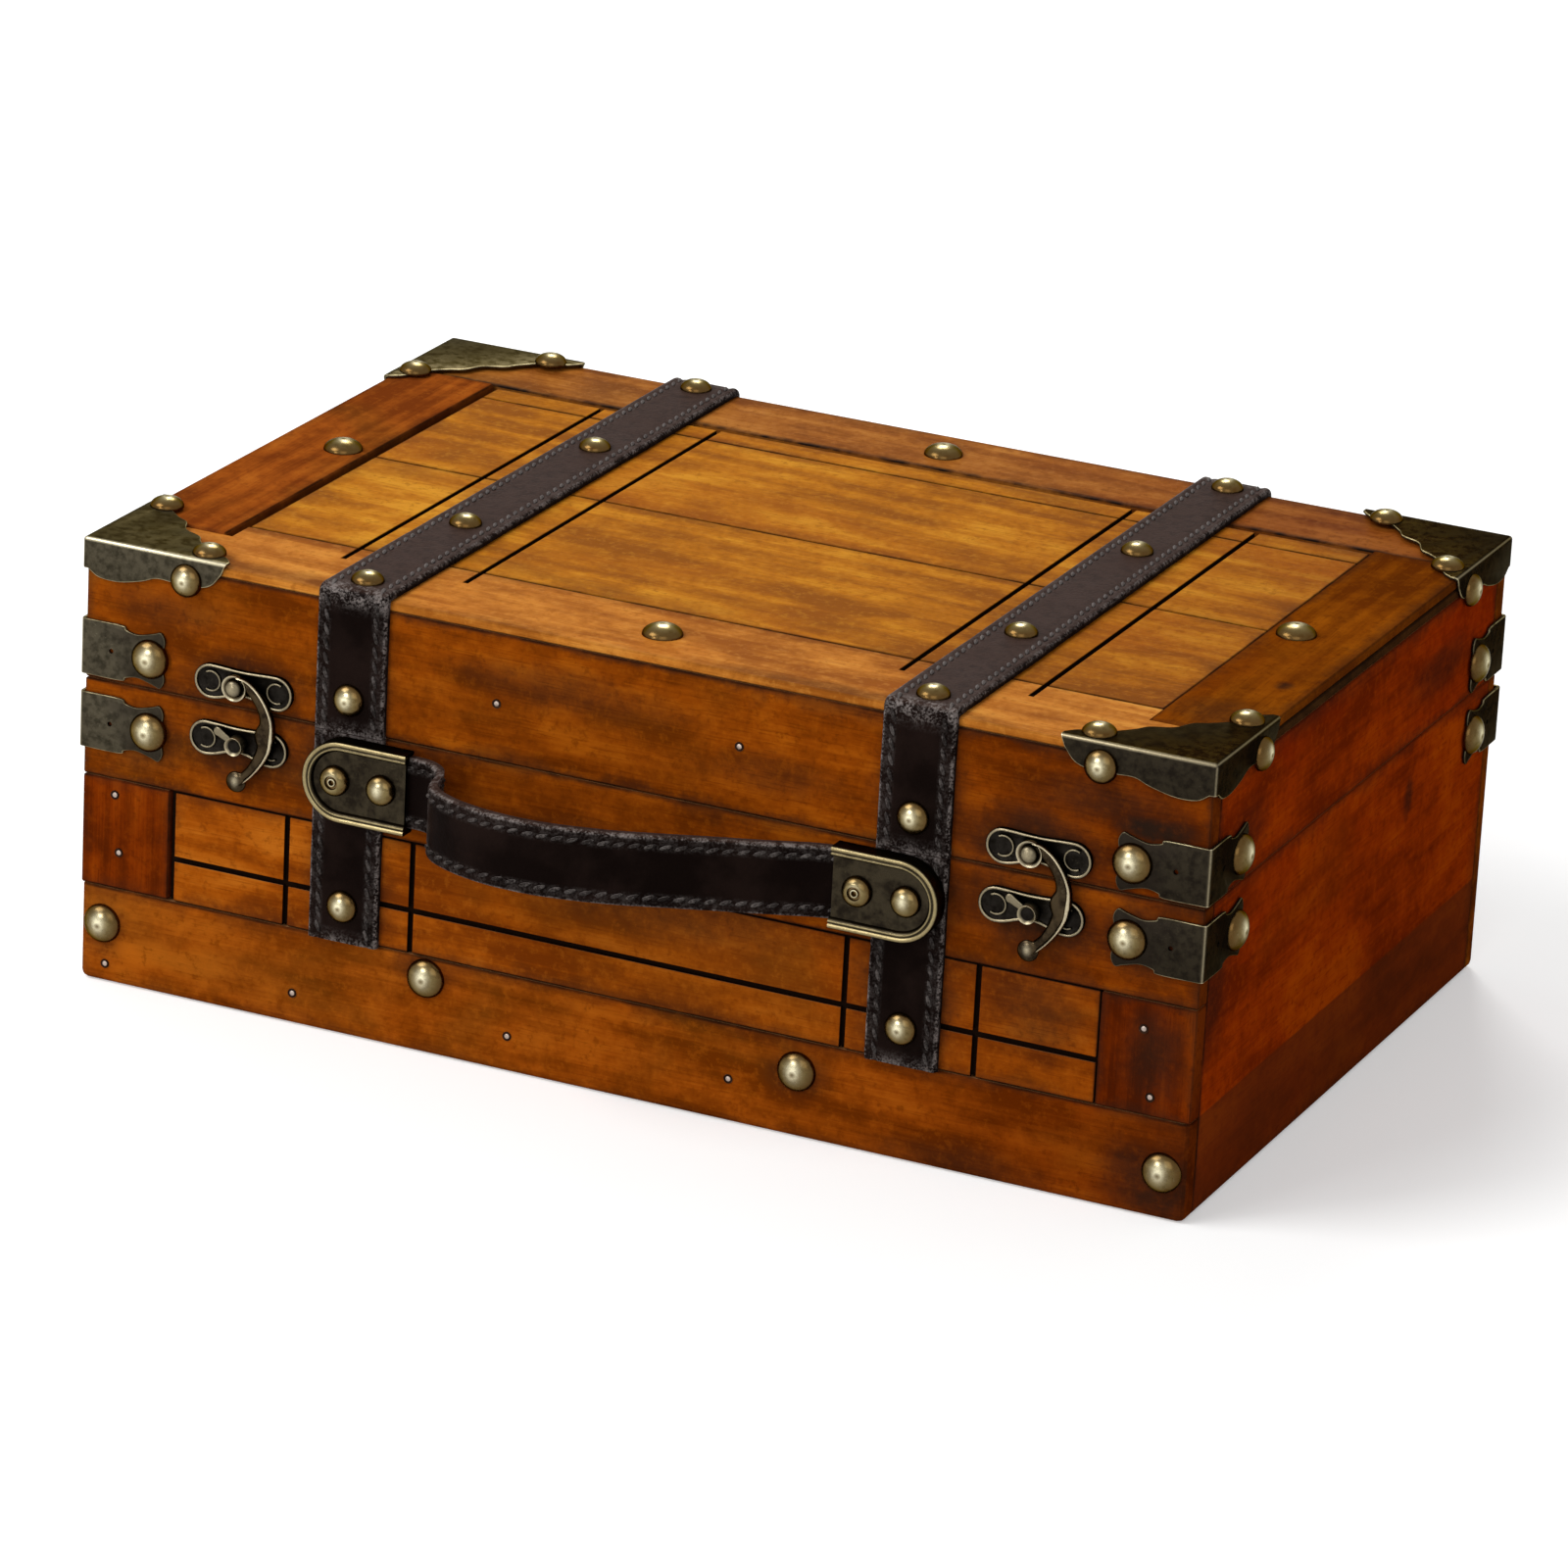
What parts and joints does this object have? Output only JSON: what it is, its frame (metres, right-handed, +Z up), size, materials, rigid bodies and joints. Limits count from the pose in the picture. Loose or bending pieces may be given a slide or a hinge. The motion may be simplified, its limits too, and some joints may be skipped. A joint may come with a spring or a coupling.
{
  "type": "wooden suitcase box",
  "caption": "Small wooden suitcase box with a hinged lid, leather straps and carrying handle, metal corner fittings and swing hook latches.",
  "frame": {"origin": "middle of the wooden base, on the surface that the case stands on", "axes": "+X to the right along the front, +Y from the front to the hinged back, +Z up"},
  "size_m": [0.3382, 0.2543, 0.132],
  "materials": {
    "orange_wood": "stained orange brown plywood under a satin lacquer, with dark worn patches",
    "amber_wood": "stained golden amber plywood under a satin lacquer",
    "red_wood": "stained red brown plywood under a satin lacquer",
    "side_wood": "stained dark red brown plywood under a satin lacquer",
    "inner_wood": "thinly stained bare plywood",
    "strap_leather": "near black brown leather with stitched edges and grey wear",
    "bronze_sheet": "antique bronze sheet with rubbed bright edges",
    "clip_bronze": "antique bronze with rubbed bright rims",
    "latch_bronze": "darkened bronze with rubbed beaded rims",
    "hook_bronze": "cast bronze, rubbed on its back",
    "nail_brass": "polished antique brass"
  },
  "bodies": {
    "box": {"box_base_board": "inner_wood", "box_front_bottom_rail": "orange_wood", "box_front_top_rail": "orange_wood", "box_front_panel": "orange_wood", "box_front_end_block_left": "red_wood", "box_front_end_block_right": "red_wood", "box_back_board": "side_wood", "box_left_board": "side_wood", "box_right_board": "side_wood", "box_corner_bracket_front_left": "bronze_sheet", "box_corner_bracket_front_right": "bronze_sheet", "box_corner_bracket_back_left": "bronze_sheet", "box_corner_bracket_back_right": "bronze_sheet", "box_strap_front_left": "strap_leather", "box_strap_front_right": "strap_leather", "box_strap_back_left": "strap_leather", "box_strap_back_right": "strap_leather", "handle_strap": "strap_leather", "handle_clip_left": "clip_bronze", "handle_clip_right": "clip_bronze", "handle_rivet_left_outer": "nail_brass", "handle_rivet_left_inner": "nail_brass", "handle_rivet_right_outer": "nail_brass", "handle_rivet_right_inner": "nail_brass", "latch_catch_left": "latch_bronze", "latch_catch_right": "latch_bronze", "hinge_box_leaf_left": "clip_bronze", "hinge_box_leaf_right": "clip_bronze", "hinge_pin_left": "clip_bronze", "hinge_pin_right": "clip_bronze"},
    "lid": {"lid_front_board": "orange_wood", "lid_back_board": "side_wood", "lid_left_board": "side_wood", "lid_right_board": "side_wood", "lid_top_panel": "inner_wood", "lid_front_strip": "orange_wood", "lid_plank_front": "amber_wood", "lid_plank_rear": "amber_wood", "lid_plank_narrow": "amber_wood", "lid_back_strip": "orange_wood", "lid_end_strip_left": "red_wood", "lid_end_strip_right": "red_wood", "lid_corner_cap_front_left": "bronze_sheet", "lid_corner_cap_front_right": "bronze_sheet", "lid_corner_cap_back_left": "bronze_sheet", "lid_corner_cap_back_right": "bronze_sheet", "lid_corner_bracket_front_left": "bronze_sheet", "lid_corner_bracket_front_right": "bronze_sheet", "lid_corner_bracket_back_left": "bronze_sheet", "lid_corner_bracket_back_right": "bronze_sheet", "lid_strap_left": "strap_leather", "lid_strap_right": "strap_leather", "latch_plate_left": "latch_bronze", "latch_plate_right": "latch_bronze", "latch_pivot_left": "latch_bronze", "latch_pivot_right": "latch_bronze", "hinge_lid_leaf_left": "clip_bronze", "hinge_lid_leaf_right": "clip_bronze"},
    "hook_left": {"latch_hook_left": "hook_bronze"},
    "hook_right": {"latch_hook_right": "hook_bronze"}
  },
  "joints": [
    {"name": "lid_hinge", "type": "hinge", "parent": "box", "child": "lid", "pos_m": [0, 0.111, 0.08815], "axis": [-1, 0, 0], "range_deg": [0, 105]},
    {"name": "hook_left_swing", "type": "hinge", "parent": "lid", "child": "hook_left", "pos_m": [-0.1174, -0.1112, 0.0948], "axis": [0, -1, 0], "range_deg": [0, 35]},
    {"name": "hook_right_swing", "type": "hinge", "parent": "lid", "child": "hook_right", "pos_m": [0.1166, -0.1112, 0.0948], "axis": [0, -1, 0], "range_deg": [0, 35]}
  ]
}
